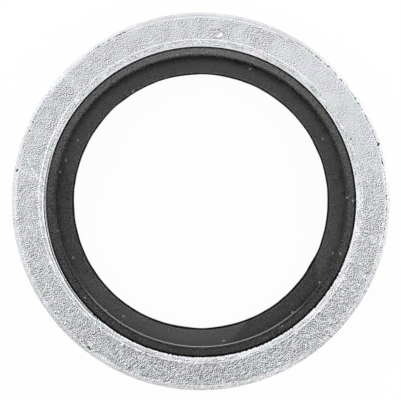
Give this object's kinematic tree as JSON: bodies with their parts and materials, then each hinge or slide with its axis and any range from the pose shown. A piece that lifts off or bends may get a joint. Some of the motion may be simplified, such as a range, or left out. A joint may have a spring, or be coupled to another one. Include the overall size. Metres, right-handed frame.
{
  "type": "bonded sealing washer",
  "caption": "Flat plated steel ring with a black rubber seal bonded into its bore: a raised sealing lip on each face and a thin web that centres the washer on a pipe thread.",
  "frame": {"origin": "on the washer's axis, on the surface that it lies on, which the crest of the lower lip touches", "axes": "+Z along the washer's axis, up out of the face whose rim is drawn over; X and Y are alike"},
  "size_m": [0.0286, 0.0286, 0.0032],
  "materials": {
    "zinc_plated_steel": "tumbled, bright zinc plate, satin with fine grain and light handling scratches",
    "nitrile_rubber": "moulded black rubber, satin, dusty"
  },
  "bodies": {
    "root": {"steel_ring": "zinc_plated_steel", "rubber_seal": "nitrile_rubber"}
  },
  "joints": []
}
